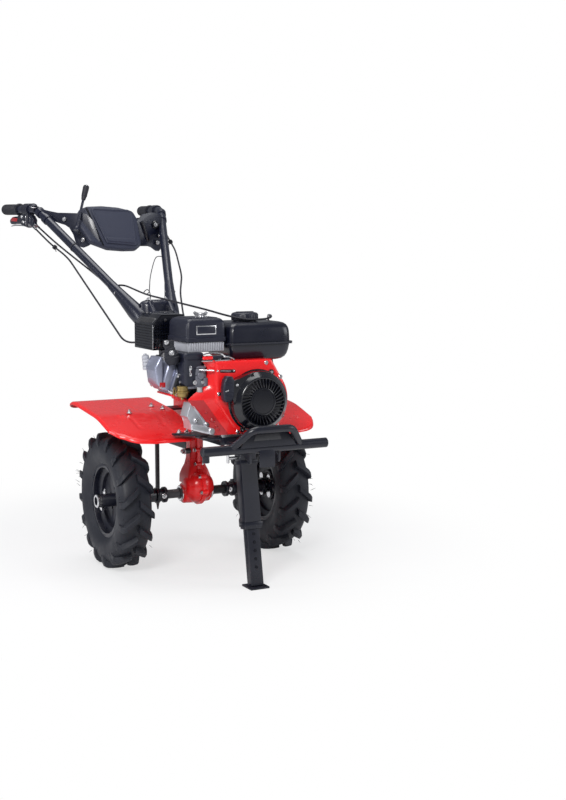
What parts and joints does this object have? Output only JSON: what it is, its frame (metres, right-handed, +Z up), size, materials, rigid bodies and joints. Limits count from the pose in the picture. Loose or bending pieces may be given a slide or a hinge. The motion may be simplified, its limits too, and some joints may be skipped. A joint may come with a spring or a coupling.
{
  "type": "power weeder",
  "caption": "Walk-behind petrol power weeder: engine over a gearbox on lugged wheels, with fenders, bumper, front leg, rear stake and tilting handlebars.",
  "frame": {"origin": "on the floor, under the middle of the machine's bounding box", "axes": "+Z up, -Y the machine's front (recoil starter and bumper), +Y towards the operator, +X the machine's left-hand side"},
  "size_m": [0.672, 1.6292, 1.1868],
  "materials": {
    "painted_red": "gloss",
    "painted_black": "satin",
    "cast_silver": "as cast",
    "bright_steel": "machined",
    "dark_steel": "blackened",
    "black_plastic": "moulded",
    "grey_plastic": "moulded",
    "tyre_rubber": "dull",
    "black_rubber": "dull"
  },
  "bodies": {
    "chassis": {"gearbox_housing": "painted_red", "clutch_housing": "painted_red", "engine_mount": "painted_black", "crankcase": "cast_silver", "cylinder": "cast_silver", "cylinder_cowl": "painted_red", "valve_cover": "cast_silver", "spark_plug": "black_rubber", "fan_shroud": "painted_red", "recoil_starter": "black_plastic", "recoil_handle": "black_plastic", "throttle_control": "bright_steel", "fuel_tank": "painted_black", "fuel_cap": "black_plastic", "air_cleaner_cover": "black_plastic", "air_cleaner_base": "grey_plastic", "intake_body": "black_plastic", "carburetor": "cast_silver", "muffler": "dark_steel", "muffler_guard": "painted_black", "right_fender": "painted_red", "left_fender": "painted_red", "fender_brackets": "painted_black", "bumper": "painted_black", "stand_socket": "painted_black", "hitch_bracket": "painted_black", "handlebar_support": "painted_black"},
    "right_wheel": {"right_tyre": "tyre_rubber", "right_rim": "painted_black", "right_hub": "dark_steel", "right_axle": "dark_steel"},
    "left_wheel": {"left_tyre": "tyre_rubber", "left_rim": "painted_black", "left_hub": "dark_steel", "left_axle": "dark_steel"},
    "front_stand": {"stand_leg": "painted_black"},
    "rear_stake": {"drag_stake": "dark_steel"},
    "handlebar": {"handlebar_base": "painted_black", "handle_tubes": "painted_black", "hand_grips": "black_rubber", "control_panel": "black_plastic", "panel_brackets": "painted_black", "gear_lever": "painted_black", "hand_levers": "black_plastic", "clutch_cable": "black_rubber", "throttle_cable": "black_rubber", "shift_cable": "black_rubber", "stop_wire": "black_rubber"}
  },
  "joints": [
    {"name": "right_wheel_spin", "type": "hinge", "parent": "chassis", "child": "right_wheel", "pos_m": [-0.265, -0.2745, 0.2075], "axis": [1, 0, 0], "continuous": true},
    {"name": "left_wheel_spin", "type": "hinge", "parent": "chassis", "child": "left_wheel", "pos_m": [0.265, -0.2745, 0.2075], "axis": [1, 0, 0], "continuous": true},
    {"name": "stand_height", "type": "slide", "parent": "chassis", "child": "front_stand", "axis": [0, 0.1736, 0.9848], "range_m": [0, 0.1]},
    {"name": "stake_depth", "type": "slide", "parent": "chassis", "child": "rear_stake", "axis": [0, 0, 1], "range_m": [-0.06, 0.04]},
    {"name": "handlebar_tilt", "type": "hinge", "parent": "chassis", "child": "handlebar", "pos_m": [0, -0.0495, 0.735], "axis": [1, 0, 0], "range_deg": [-12, 10], "deforming": ["clutch_cable", "throttle_cable", "shift_cable"]}
  ]
}
